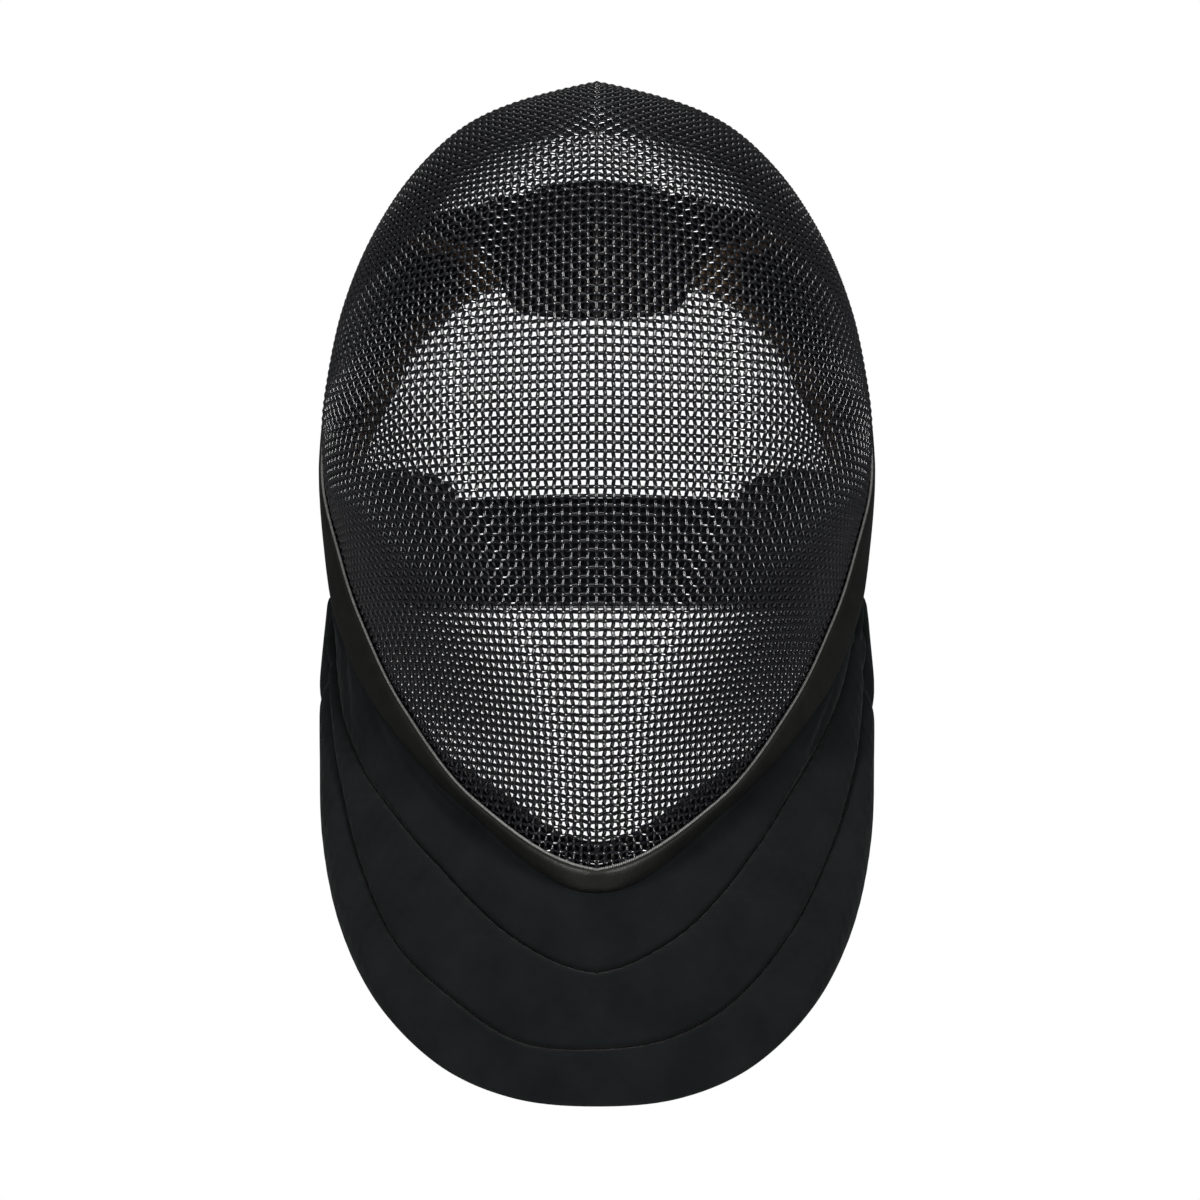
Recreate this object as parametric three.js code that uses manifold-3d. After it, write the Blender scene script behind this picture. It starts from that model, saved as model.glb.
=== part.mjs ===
// Fencing mask: creased wire dome, vinyl edge binding, padded bib, head pads and a rear elastic strap.
// Millimetres, +Z up, the face looks along -Y. Origin: centre of the forehead pad's inner face.
import * as THREE from "three";
import { mergeVertices } from "three/addons/utils/BufferGeometryUtils.js";
import Module from "manifold-3d";

const wasm = await Module();
wasm.setup();

// Driving sizes
const WALL = 2.0;
const GAP = 0.3;
const PAD_GAP = 0.6;
const LIP = 7.5;
const NOSE = 3.0;
const BINDING_HALF = 3.6;
const SLOT = WALL / 2 + GAP;
const JAW = { middle: 10, span: 2.3, reach: 5, rise: 4.6 };
const BIB_SEAM = 4.0;
const BIB_CREST = 9.0;
const PAD_EDGE = 3.5;
const FOREHEAD_CREST = 10.5;
const TEMPLE_CREST = 8.5;
const CHIN_CREST = 7.0;
const CHIN = { from: 11.8, tip: 16, ends: 10 };
const STRAP = { thick: 2.0, low: -130.5, high: -84.5, radius: 124, centreY: 86, endAngle: 36.5 };
const TAB = { thick: 2.0, low: -129.5, high: -74, endDrop: 7, innerAngle: 28, outerAngle: 36 };

// Dome sections from the rear top to the chin: keel point, rim point and the two curve handles between them
const DOME_COLUMNS = ["keelY", "keelZ", "rimX", "rimY", "rimZ", "browX", "crease", "flankX", "flankShare"];
const DOME = [
  [130, 61.5, 0, 130, 61.5, 0, 0.62, 0, 0.45],
  [104, 68.5, 31, 132, 57.5, 19, 0.4, 33, 0.45],
  [80, 71, 53.5, 134, 46.5, 34, 0.36, 61, 0.5],
  [50, 65, 73.5, 135, 20, 43, 0.41, 85, 0.5],
  [20, 48, 88.5, 136, -5, 49, 0.44, 100, 0.52],
  [-4, 19, 98, 136.5, -27, 54, 0.38, 109, 0.56],
  [-20, -14, 103.5, 136, -47, 57, 0.33, 112.5, 0.6],
  [-28, -47, 106, 135, -65, 59, 0.3, 114, 0.62],
  [-30, -77, 106.5, 133, -83, 59, 0.29, 105, 0.62],
  [-29, -109, 102, 127, -106, 56, 0.3, 89.5, 0.58],
  [-24, -142, 95, 112, -134, 48, 0.36, 74, 0.5],
  [-16, -174, 80.5, 83, -166, 34, 0.45, 60, 0.4],
  [-6, -202.5, 49, 46, -201, 19, 0.58, 43, 0.36],
  [8, -231.5, 0, 8, -231.5, 0, 0.58, 0, 0.36],
];
const LAST = DOME.length - 1;

// Bib sections from the ear corner to the centre front: place on the rim, hem point and the two seams
const BIB_COLUMNS = ["rimT", "hemX", "hemY", "hemZ", "seamA", "seamB"];
const BIB = [
  [9.25, 103.5, 127, -134, 0.46, 0.66],
  [9.85, 104, 118, -164, 0.47, 0.655],
  [10.45, 103, 101, -195, 0.48, 0.64],
  [11, 100.5, 78, -226, 0.44, 0.635],
  [11.5, 92, 50, -254.5, 0.4, 0.68],
  [12, 76.5, 22, -279, 0.425, 0.735],
  [12.45, 54.5, 5, -298, 0.435, 0.752],
  [12.75, 29, -2, -308, 0.44, 0.778],
  [13, 0, -4, -310.5, 0.463, 0.773],
];

// Forehead pad outline across the brow: share along the section, upper and lower place on the keel scale
const FOREHEAD_COLUMNS = ["share", "upperT", "lowerT"];
const FOREHEAD = [
  [0, 4.74, 6.33],
  [0.1, 4.7, 6.28],
  [0.17, 4.69, 6.16],
  [0.207, 4.69, 5.86],
  [0.237, 4.69, 5.56],
  [0.27, 4.68, 5.3],
  [0.36, 4.65, 5.04],
  [0.44, 4.6, 4.8],
];

// Temple pad outline down the side: place on the keel scale, front and rear share along the section
const TEMPLE_COLUMNS = ["keelT", "frontShare", "rearShare"];
const TEMPLE = [
  [4.8, 0.445, 0.93],
  [4.93, 0.4076, 0.935],
  [5.06, 0.3641, 0.94],
  [5.19, 0.3156, 0.94],
  [5.32, 0.2735, 0.94],
  [5.46, 0.2523, 0.94],
  [5.6, 0.2385, 0.94],
  [5.72, 0.2272, 0.94],
  [5.82, 0.2215, 0.94],
  [5.89, 0.268, 0.94],
  [5.98, 0.312, 0.94],
  [6.1, 0.352, 0.94],
  [6.35, 0.418, 0.94],
  [6.85, 0.485, 0.94],
  [7.4, 0.562, 0.94],
  [8, 0.675, 0.93],
];

// Uniform cubic through the table rows; the end rule says how a column goes on past its ends
function spline(table, columns, name, t, rule = "open") {
  const k = columns.indexOf(name);
  const last = table.length - 1;
  const i = Math.min(Math.max(Math.floor(t), 0), last - 1);
  const f = t - i;
  const past = (end, inner) => {
    if (rule === "odd") return -inner;
    if (rule === "even") return inner;
    return 2 * end - inner;
  };
  const b = table[i][k];
  const c = table[i + 1][k];
  const a = i > 0 ? table[i - 1][k] : past(b, c);
  const d = i + 2 <= last ? table[i + 2][k] : past(c, b);
  const cubic = 3 * b - a - 3 * c + d;
  const square = 2 * a - 5 * b + 4 * c - d;
  return 0.5 * (2 * b + (c - a) * f + square * f * f + cubic * f ** 3);
}

function dome(name, t, rule) {
  return spline(DOME, DOME_COLUMNS, name, t, rule);
}

// Point of the dome's middle surface: t runs down the keel, s from the keel (0) to the rim (1, left -1)
function domePoint(t, s) {
  const side = Math.sign(s) || 1;
  const u = Math.abs(s);
  const keelY = dome("keelY", t);
  const keelZ = dome("keelZ", t);
  const rimY = dome("rimY", t, "even");
  const rimZ = dome("rimZ", t, "even");
  const span = Math.hypot(rimY - keelY, rimZ - keelZ);
  const dirY = span > 1e-9 ? (rimY - keelY) / span : 0;
  const dirZ = span > 1e-9 ? (rimZ - keelZ) / span : 0;
  const browX = Math.max(dome("browX", t), 0);
  const browW = Math.min(browX * dome("crease", t), 0.6 * span);
  const flankW = span * (1 - dome("flankShare", t));
  const b1 = 3 * (1 - u) ** 2 * u;
  const b2 = 3 * (1 - u) * u * u;
  const b3 = u ** 3;
  const x = b1 * browX + b2 * Math.max(dome("flankX", t), 0) + b3 * dome("rimX", t, "odd");
  const w = b1 * browW + b2 * flankW + b3 * span;
  return new THREE.Vector3(side * x, keelY + dirY * w, keelZ + dirZ * w);
}

// Outward unit normal of the middle surface, averaged across the crease
function domeNormal(tAt, s) {
  const step = 0.02;
  const t = Math.min(Math.max(tAt, 2 * step), LAST - 2 * step);
  const atTip = tAt <= 0 || tAt >= LAST;
  const u = atTip ? 0.5 : Math.min(Math.max(Math.abs(s), step), 1 - step);
  const along = domePoint(t + step, u).sub(domePoint(t - step, u));
  const across = domePoint(t, u + step).sub(domePoint(t, u - step));
  const normal = along.cross(across).normalize();
  normal.x = s === 0 || atTip ? 0 : normal.x * (Math.sign(s) || 1);
  return normal.normalize();
}

function onDome(t, s, offset) {
  return domePoint(t, s).addScaledVector(domeNormal(t, s), offset);
}

// Rim frame on the right side: point, direction away from the mesh and outward normal
function rimFrame(t) {
  const step = 0.02;
  const at = Math.min(Math.max(t, step), LAST - step);
  const tangent = domePoint(at + step, 1).sub(domePoint(at - step, 1));
  if (t <= 0 || t >= LAST) tangent.set(t <= 0 ? 1 : -1, 0, 0);
  const normal = domeNormal(t, 1);
  const away = normal.clone().cross(tangent).normalize();
  return { point: domePoint(t, 1), away, normal };
}

function mirrored(v) {
  return new THREE.Vector3(-v.x, v.y, v.z);
}

// Closed solid from loose triangles: equal points are merged and flat triangles dropped
function solid(points, triangles) {
  const loose = new THREE.BufferGeometry();
  loose.setAttribute("position", new THREE.Float32BufferAttribute(points.flatMap((p) => p.toArray()), 3));
  loose.setIndex(triangles.flat());
  const merged = mergeVertices(loose, 1e-3);
  const index = merged.getIndex().array;
  const kept = [];
  for (let i = 0; i < index.length; i += 3) {
    const [a, b, c] = [index[i], index[i + 1], index[i + 2]];
    if (a !== b && b !== c && c !== a) kept.push(a, b, c);
  }
  merged.setIndex(signedVolume(merged, kept) < 0 ? kept.toReversed() : kept);
  return merged;
}

function signedVolume(geometry, index) {
  const position = geometry.getAttribute("position");
  const at = (k) => new THREE.Vector3().fromBufferAttribute(position, k);
  let sum = 0;
  for (let i = 0; i < index.length; i += 3) {
    sum += at(index[i]).dot(at(index[i + 1]).cross(at(index[i + 2]))) / 6;
  }
  return sum;
}

// Slab between two point grids of one size, closed along its four sides
function slab(outer, inner) {
  const rows = outer.length;
  const cols = outer[0].length;
  const points = [...outer.flat(), ...inner.flat()];
  const half = rows * cols;
  const triangles = [];
  const quad = (a, b, c, d) => triangles.push([a, b, c], [a, c, d]);
  for (let i = 0; i < rows - 1; i++) {
    for (let j = 0; j < cols - 1; j++) {
      const a = i * cols + j;
      quad(a, a + cols, a + cols + 1, a + 1);
      quad(half + a, half + a + 1, half + a + cols + 1, half + a + cols);
    }
  }
  for (let i = 0; i < rows - 1; i++) {
    const a = i * cols;
    const b = a + cols - 1;
    quad(a, half + a, half + a + cols, a + cols);
    quad(b, b + cols, half + b + cols, half + b);
  }
  for (let j = 0; j < cols - 1; j++) {
    const a = j;
    const b = (rows - 1) * cols + j;
    quad(a, a + 1, half + a + 1, half + a);
    quad(b, half + b, half + b + 1, b + 1);
  }
  return solid(points, triangles);
}

// Closed ring from a list of equal sections
function ring(sections) {
  const count = sections[0].length;
  const triangles = [];
  sections.forEach((_, i) => {
    const next = (i + 1) % sections.length;
    for (let j = 0; j < count; j++) {
      const k = (j + 1) % count;
      triangles.push([i * count + j, next * count + j, next * count + k]);
      triangles.push([i * count + j, next * count + k, i * count + k]);
    }
  });
  return solid(sections.flat(), triangles);
}

function grid(rows, cols, make) {
  return rows.map((r) => cols.map((c) => make(r, c)));
}

function range(count, from, to) {
  return Array.from({ length: count + 1 }, (_, i) => from + ((to - from) * i) / count);
}

function toManifold(geometry) {
  const mesh = new wasm.Mesh({
    numProp: 3,
    vertProperties: new Float32Array(geometry.getAttribute("position").array),
    triVerts: new Uint32Array(geometry.getIndex().array),
  });
  return new wasm.Manifold(mesh);
}

function fromManifold(body) {
  const mesh = body.getMesh();
  const geometry = new THREE.BufferGeometry();
  geometry.setAttribute("position", new THREE.Float32BufferAttribute(mesh.vertProperties, 3));
  geometry.setIndex(Array.from(mesh.triVerts));
  return geometry;
}

// Places down the keel, closer together near the two tips
const TIP_CROWDING = 0.28;
const DOME_STEPS = range(30, 0, 1).map((u) => {
  const eased = 0.5 * (1 - Math.cos(Math.PI * u));
  return Math.min(LAST, LAST * ((1 - TIP_CROWDING) * u + TIP_CROWDING * eased));
});
const ACROSS = range(26, -1, 1).map((u) => Math.sign(u) * Math.abs(u) ** 1.1);

// Dome wall about the middle surface, grown by a clearance when it cuts a seat
function domeWall(grow) {
  const make = (offset) => (t, s) => {
    const p = onDome(t, s, offset);
    const onRim = Math.abs(s) === 1 || t <= 0 || t >= LAST;
    const away = rimFrame(t).away;
    return onRim ? p.addScaledVector(s < 0 ? mirrored(away) : away, grow) : p;
  };
  const half = WALL / 2 + grow;
  return slab(grid(DOME_STEPS, ACROSS, make(half)), grid(DOME_STEPS, ACROSS, make(-half)));
}

// Place on the dome nearest to a point that lies a distance inside the rim, found by a shrinking search
function rimInset(t, distance) {
  const { point, away } = rimFrame(t);
  const target = point.clone().addScaledVector(away, -distance);
  const best = { t, s: t <= 0 || t >= LAST ? 0 : 1 };
  let miss = domePoint(best.t, best.s).distanceTo(target);
  for (let step = 0.6; step > 1e-4; step *= 0.7) {
    for (const [dt, ds] of [[step, 0], [-step, 0], [0, step], [0, -step]]) {
      const tryT = Math.min(Math.max(best.t + dt, 0), LAST);
      const tryS = t <= 0 || t >= LAST ? 0 : Math.min(Math.max(best.s + ds, 0), 1);
      const distanceNow = domePoint(tryT, tryS).distanceTo(target);
      if (distanceNow < miss) {
        miss = distanceNow;
        best.t = tryT;
        best.s = tryS;
      }
    }
  }
  return best;
}

// Along the jaw the binding's outer leg reaches further over the mesh and its roll stands higher
function jawRow(t, [d, n]) {
  const x = Math.min(Math.abs(t - JAW.middle) / JAW.span, 1);
  const share = n > 0 ? (1 - x * x) ** 2 : 0;
  const over = Math.min(Math.max(-d / LIP, 0), 1);
  const lift = d < 0 ? 1 - over : n / BINDING_HALF;
  return [d - JAW.reach * share * over, n > SLOT ? n + JAW.rise * share * lift : n];
}

// Closed loop of sections round the rim; an outline row is a distance past the rim and a height off it
function rimLoop(outline) {
  const section = (t, side) => {
    const { point, away, normal } = rimFrame(t);
    return outline.map((row) => jawRow(t, row)).map(([d, n]) => {
      const p = point.clone().addScaledVector(away, d).addScaledVector(normal, n);
      if (d < -1) {
        const inset = rimInset(t, -d);
        p.copy(onDome(inset.t, inset.s, n));
      }
      return side > 0 ? p : mirrored(p);
    });
  };
  const right = DOME_STEPS.map((t) => section(t, 1));
  const left = DOME_STEPS.slice(1, -1).reverse().map((t) => section(t, -1));
  return ring([...right, ...left]);
}

// Half outline of the binding from its lip to its nose
function bindingHalf(grow) {
  const half = BINDING_HALF + grow;
  const lip = LIP + grow;
  const nose = NOSE + grow;
  return [[-lip, 0.7 * half], [-lip + 1.4, half], [0.2, half], [0.75 * nose, 0.62 * half]];
}

function withMirror(half, middle) {
  return [...half, ...middle, ...half.toReversed().map(([d, n]) => [d, -n])];
}

// Folded strip with a slot that takes the mesh edge
function edgeBinding() {
  const folded = withMirror(bindingHalf(0), [[NOSE, 0]]);
  const slotWall = [[-LIP, -SLOT], [-0.5 * LIP, -SLOT], [GAP, -SLOT], [GAP, SLOT], [-0.5 * LIP, SLOT], [-LIP, SLOT]];
  return rimLoop([...folded, ...slotWall]);
}

// Unslotted roll, grown by the gap, that cuts the bib's seat
function bindingRoll() {
  return rimLoop(withMirror(bindingHalf(GAP), [[NOSE + GAP, 0]]));
}

// Middle line of the bib from the rim (v = 0) to the hem (v = 1), on the right side
function bibPoint(r, v) {
  const column = (name, rule) => spline(BIB, BIB_COLUMNS, name, r, r > BIB.length - 2 ? rule : "open");
  const { point, away } = rimFrame(Math.min(column("rimT", "open"), LAST));
  const hem = new THREE.Vector3(column("hemX", "odd"), column("hemY", "even"), column("hemZ", "even"));
  const reach = hem.distanceTo(point);
  const start = point.clone().addScaledVector(away, 1);
  const leave = start.clone().addScaledVector(away, 0.24 * reach);
  const radial = new THREE.Vector3(hem.x, hem.y - 90, 0).normalize();
  const arrive = hem.clone().addScaledVector(radial, 0.02 * reach);
  arrive.z += 0.36 * reach;
  const p = start.multiplyScalar((1 - v) ** 3);
  p.addScaledVector(leave, 3 * (1 - v) ** 2 * v);
  p.addScaledVector(arrive, 3 * (1 - v) * v * v);
  return p.addScaledVector(hem, v ** 3);
}

function bibNormal(r, v) {
  const step = 0.02;
  const a = Math.min(Math.max(r, step), BIB.length - 1 - step);
  const b = Math.min(Math.max(v, step), 1 - step);
  const along = bibPoint(a + step, b).sub(bibPoint(a - step, b));
  const down = bibPoint(a, b + step).sub(bibPoint(a, b - step));
  const normal = along.cross(down).normalize();
  if (r >= BIB.length - 1) normal.x = 0;
  return normal.normalize();
}

// Padded bib: three sewn channels that swell between the rim, two seams and the hem
function bibRaw() {
  const phases = [0, 0.18, 0.5, 0.82];
  const levels = [...[0, 1, 2].flatMap((k) => phases.map((f) => k + f)), 3];
  const top = BIB.length - 1;
  const right = range(16, 0, top).map((r) => [r, 1]);
  const left = right.slice(0, -1).reverse().map(([r]) => [r, -1]);
  const rows = [...right, ...left];
  const make = (share) => ([r, side], level) => {
    const seamA = spline(BIB, BIB_COLUMNS, "seamA", r);
    const seamB = spline(BIB, BIB_COLUMNS, "seamB", r);
    const marks = [0, seamA, seamB, 1, 1];
    const k = Math.floor(level);
    const v = marks[k] + (marks[k + 1] - marks[k]) * (level - k);
    const ends = Math.min(1, 0.35 + 0.65 * r);
    const swell = Math.max(Math.sin(Math.PI * (level - k)), 0) ** 0.75 * ends;
    const thick = BIB_SEAM + (BIB_CREST - BIB_SEAM) * swell;
    const p = bibPoint(r, v).addScaledVector(bibNormal(r, v), share * thick);
    return side > 0 ? p : mirrored(p);
  };
  return slab(grid(rows, levels, make(0.6)), grid(rows, levels, make(-0.4)));
}

// Pad lying against the inside of the dome; the swell rises from its edges to a soft crest
function domePad(rows, cols, place, crest, roundness) {
  const face = (inner) => (i, j) => {
    const { t, s } = place(i, j);
    const rise = (Math.sin(Math.PI * i) * Math.sin(Math.PI * j)) ** roundness;
    const depth = inner ? PAD_EDGE + (crest - PAD_EDGE) * Math.max(rise, 0) : 0;
    return onDome(t, s, -(WALL / 2 + PAD_GAP + depth));
  };
  return slab(grid(rows, cols, face(false)), grid(rows, cols, face(true)));
}

// Reading a table at a share of its length
function tableAt(table, columns, name, share) {
  return spline(table, columns, name, share * (table.length - 1));
}

function foreheadPad() {
  const place = (i, j) => {
    const across = 2 * i - 1;
    const at = Math.abs(across);
    const upper = tableAt(FOREHEAD, FOREHEAD_COLUMNS, "upperT", at);
    const lower = tableAt(FOREHEAD, FOREHEAD_COLUMNS, "lowerT", at);
    const share = tableAt(FOREHEAD, FOREHEAD_COLUMNS, "share", at);
    return { t: upper + (lower - upper) * j, s: Math.sign(across) * share };
  };
  return domePad(range(28, 0, 1), range(5, 0, 1), place, FOREHEAD_CREST, 0.45);
}

function templePad(side) {
  const place = (i, j) => {
    const t = tableAt(TEMPLE, TEMPLE_COLUMNS, "keelT", i);
    const front = tableAt(TEMPLE, TEMPLE_COLUMNS, "frontShare", i);
    const rear = tableAt(TEMPLE, TEMPLE_COLUMNS, "rearShare", i);
    return { t, s: side * (front + (rear - front) * j) };
  };
  return domePad(range(26, 0, 1), range(4, 0, 1), place, TEMPLE_CREST, 0.45);
}

// Strip inside the chin, between the binding's inner lip and the open mesh
function chinPad() {
  const place = (i, j) => {
    const across = 2 * i - 1;
    const middle = 1 - Math.abs(across);
    const width = CHIN.ends + (CHIN.tip - CHIN.ends) * middle;
    const inset = rimInset(CHIN.from + (LAST - CHIN.from) * middle, LIP + 2 * GAP + (width - LIP) * j);
    return { t: inset.t, s: (Math.sign(across) || 1) * inset.s };
  };
  return domePad(range(18, 0, 1), range(4, 0, 1), place, CHIN_CREST, 0.4);
}

function strapArc(radius, degrees, z) {
  const a = THREE.MathUtils.degToRad(degrees);
  return new THREE.Vector3(radius * Math.sin(a), STRAP.centreY + radius * Math.cos(a), z);
}

function backStrap() {
  const turns = range(24, -STRAP.endAngle, STRAP.endAngle);
  const heights = range(2, STRAP.low, STRAP.high);
  const face = (offset) => (angle, z) => strapArc(STRAP.radius + offset, angle, z);
  return slab(grid(turns, heights, face(STRAP.thick / 2)), grid(turns, heights, face(-STRAP.thick / 2)));
}

// Place on the rim at a given height, found by halving
function rimAtHeight(z) {
  let [high, low] = [7, 11];
  for (let k = 0; k < 40; k++) {
    const mid = (high + low) / 2;
    if (domePoint(mid, 1).z > z) high = mid;
    else low = mid;
  }
  return rimFrame((high + low) / 2);
}

// Tab from the binding's inner face round to the outside of the strap's end
function strapTab(side) {
  const radius = STRAP.radius + STRAP.thick / 2 + GAP + TAB.thick / 2;
  const middle = (r, z) => {
    if (r > 1) return strapArc(radius, TAB.outerAngle + (TAB.innerAngle - TAB.outerAngle) * (r - 1), z);
    const { point, away, normal } = rimAtHeight(z);
    const start = point.clone().addScaledVector(normal, -(BINDING_HALF + GAP + TAB.thick / 2 + 0.1));
    start.addScaledVector(away, -3.5);
    start.z = z;
    const end = strapArc(radius, TAB.outerAngle, z);
    const flat = new THREE.Vector3(away.x, away.y, 0).normalize();
    const a = THREE.MathUtils.degToRad(TAB.outerAngle);
    const leave = start.clone().addScaledVector(flat, 24);
    const arrive = new THREE.Vector3(end.x + 20 * Math.cos(a), end.y - 20 * Math.sin(a), z);
    const p = start.multiplyScalar((1 - r) ** 3);
    p.addScaledVector(leave, 3 * (1 - r) ** 2 * r);
    p.addScaledVector(arrive, 3 * (1 - r) * r * r);
    return p.addScaledVector(end, r ** 3);
  };
  const face = (offset) => (r, h) => {
    const top = TAB.high - TAB.endDrop * Math.max(r - 1, 0) ** 2;
    const z = TAB.low + (top - TAB.low) * h;
    const ahead = middle(Math.min(r + 0.02, 2), z).sub(middle(Math.max(r - 0.02, 0), z));
    const out = new THREE.Vector3(ahead.y, -ahead.x, 0).normalize();
    const p = middle(r, z).addScaledVector(out, offset);
    return side > 0 ? p : mirrored(p);
  };
  const runs = [...range(9, 0, 1), ...range(3, 1, 2).slice(1)];
  const heights = range(4, 0, 1);
  return slab(grid(runs, heights, face(TAB.thick / 2)), grid(runs, heights, face(-TAB.thick / 2)));
}

const binding = toManifold(edgeBinding()).subtract(toManifold(domeWall(GAP)));
const roll = toManifold(bindingRoll());
const bib = toManifold(bibRaw()).subtract(roll);
const tabLeft = toManifold(strapTab(-1)).subtract(roll);
const tabRight = toManifold(strapTab(1)).subtract(roll);

const FINISH = {
  wire: { color: 0x15171c, roughness: 0.35, metalness: 0.4 },
  vinyl: { color: 0x1c1a19, roughness: 0.45, metalness: 0 },
  cloth: { color: 0x17181a, roughness: 0.95, metalness: 0 },
  pad: { color: 0x261f1c, roughness: 0.7, metalness: 0 },
  elastic: { color: 0x1d1e20, roughness: 0.9, metalness: 0 },
};

const mask = new THREE.Group();
mask.name = "fencing_mask";

function addPiece(name, geometry, finish) {
  const mesh = new THREE.Mesh(geometry, new THREE.MeshStandardMaterial(FINISH[finish]));
  mesh.name = name;
  mask.add(mesh);
}

addPiece("wire_mesh", domeWall(0), "wire");
addPiece("edge_binding", fromManifold(binding), "vinyl");
addPiece("bib", fromManifold(bib), "cloth");
addPiece("forehead_pad", foreheadPad(), "pad");
addPiece("temple_pad_left", templePad(-1), "pad");
addPiece("temple_pad_right", templePad(1), "pad");
addPiece("chin_pad", chinPad(), "pad");
addPiece("back_strap", backStrap(), "elastic");
addPiece("strap_tab_left", fromManifold(tabLeft), "elastic");
addPiece("strap_tab_right", fromManifold(tabRight), "elastic");

export default mask;
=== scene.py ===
# %% [markdown]
# # A fencing mask
# The mask is a dome of woven black wire with a crease down the middle. A vinyl strip binds its edge, a padded
# cloth bib hangs below, and pads and an elastic strap sit inside. The solids are loaded first as a fixed frame,
# and each soft or woven piece is then built again in finer form in the same place.

# %% Load the frame
import math

import bpy
import numpy as np
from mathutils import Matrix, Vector


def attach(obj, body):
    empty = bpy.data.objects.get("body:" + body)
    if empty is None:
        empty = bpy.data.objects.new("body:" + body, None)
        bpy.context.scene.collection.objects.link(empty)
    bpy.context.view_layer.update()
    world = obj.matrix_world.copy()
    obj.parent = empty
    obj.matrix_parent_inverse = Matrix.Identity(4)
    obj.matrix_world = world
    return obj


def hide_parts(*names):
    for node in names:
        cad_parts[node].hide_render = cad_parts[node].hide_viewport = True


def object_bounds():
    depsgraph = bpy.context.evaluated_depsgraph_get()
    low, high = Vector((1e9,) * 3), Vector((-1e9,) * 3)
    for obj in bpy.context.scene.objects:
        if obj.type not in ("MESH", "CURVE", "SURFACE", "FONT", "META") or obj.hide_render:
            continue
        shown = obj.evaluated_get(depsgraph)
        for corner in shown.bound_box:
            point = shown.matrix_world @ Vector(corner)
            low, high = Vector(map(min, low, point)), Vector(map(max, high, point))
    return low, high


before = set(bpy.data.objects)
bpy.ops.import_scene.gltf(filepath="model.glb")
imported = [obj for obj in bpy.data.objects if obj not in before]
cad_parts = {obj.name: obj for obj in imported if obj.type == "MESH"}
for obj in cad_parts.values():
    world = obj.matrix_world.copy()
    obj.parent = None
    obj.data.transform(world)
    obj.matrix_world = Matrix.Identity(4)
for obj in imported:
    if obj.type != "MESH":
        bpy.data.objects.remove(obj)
cad_box = [list(corner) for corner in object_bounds()]
MM = 0.001
print("frame nodes:", sorted(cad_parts))

# %% [markdown]
# ## Camera, floor and light
# The photograph looks straight at the mask from its own height, on white. A long lens keeps the dome from
# looking swollen. The camera sees a white world, so the background shows bright through the weave, but that
# world lights the mask only dimly. Soft panels do the lighting: two beside the camera draw the upright highlights
# on the wires, and two overhead catch the roof.

# %% Camera
PHOTO_SIDE = 1200
FOCAL_PIXELS = 3929
SENSOR = 36.0
camera_data = bpy.data.cameras.new("photo_camera")
camera_data.sensor_width = SENSOR
camera_data.lens = SENSOR * FOCAL_PIXELS / PHOTO_SIDE
camera = bpy.data.objects.new("photo_camera", camera_data)
camera.location = (1.2 * MM, -1430 * MM, -127 * MM)
camera.rotation_euler = (math.pi / 2, 0, 0)
bpy.context.scene.collection.objects.link(camera)
bpy.context.scene.camera = camera
bpy.context.scene.view_settings.view_transform = "Standard"
print("lens", round(camera_data.lens, 1), "mm")

# %% Floor
FLOOR_DROP = 0.62
FLOOR_REACH = 0.7


def new_object(name, mesh):
    obj = bpy.data.objects.new(name, mesh)
    bpy.context.scene.collection.objects.link(obj)
    return obj


def plain_material(name, colour, roughness, specular=0.5):
    material = bpy.data.materials.new(name)
    material.use_nodes = True
    shader = material.node_tree.nodes["Principled BSDF"]
    shader.inputs["Base Color"].default_value = (*colour, 1)
    shader.inputs["Roughness"].default_value = roughness
    shader.inputs["Specular IOR Level"].default_value = specular
    return material, material.node_tree, shader


floor_z = cad_box[0][2] - FLOOR_DROP
corners = [(x, y, floor_z) for x, y in ((-1, -1), (1, -1), (1, 1), (-1, 1))]
corners = [(x * FLOOR_REACH, y * FLOOR_REACH, z) for x, y, z in corners]
floor_mesh = bpy.data.meshes.new("floor")
floor_mesh.from_pydata(corners, [], [(0, 1, 2, 3)])
floor = new_object("floor", floor_mesh)
floor_mesh.materials.append(plain_material("pale_floor", (0.7, 0.7, 0.7), 0.9, 0.1)[0])

# %% World and light panels
DIM_ROOM = 0.08
world = bpy.data.worlds.new("white_studio")
world.use_nodes = True
room = world.node_tree
room.nodes["Background"].inputs["Color"].default_value = (1, 1, 1, 1)
kind = room.nodes.new("ShaderNodeLightPath")
level = room.nodes.new("ShaderNodeMapRange")
level.inputs["To Min"].default_value = DIM_ROOM
level.inputs["To Max"].default_value = 1.0
room.links.new(kind.outputs["Is Camera Ray"], level.inputs["Value"])
room.links.new(level.outputs["Result"], room.nodes["Background"].inputs["Strength"])
bpy.context.scene.world = world

# name, place in metres, width, height, power in watts
PANELS = [
    ("panel_left", (-0.85, -1.15, 0.1), 0.16, 0.8, 13),
    ("panel_right", (0.85, -1.15, 0.1), 0.16, 0.8, 13),
    ("panel_top", (0.0, -0.75, 1.1), 0.6, 0.25, 3.5),
    ("panel_rear", (0.0, 0.62, 1.1), 0.7, 0.3, 1.2),
]
AIM = (0.0, 0.03, -0.12)


def add_panel(name, place, width, height, power):
    data = bpy.data.lights.new(name, "AREA")
    data.shape = "RECTANGLE"
    data.size = width
    data.size_y = height
    data.energy = power
    panel = bpy.data.objects.new(name, data)
    panel.location = place
    toward = np.array(AIM) - np.array(place)
    panel.rotation_euler = Vector(toward).to_track_quat("-Z", "Y").to_euler()
    bpy.context.scene.collection.objects.link(panel)


for row in PANELS:
    add_panel(*row)
print("light panels:", len(PANELS))

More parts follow.
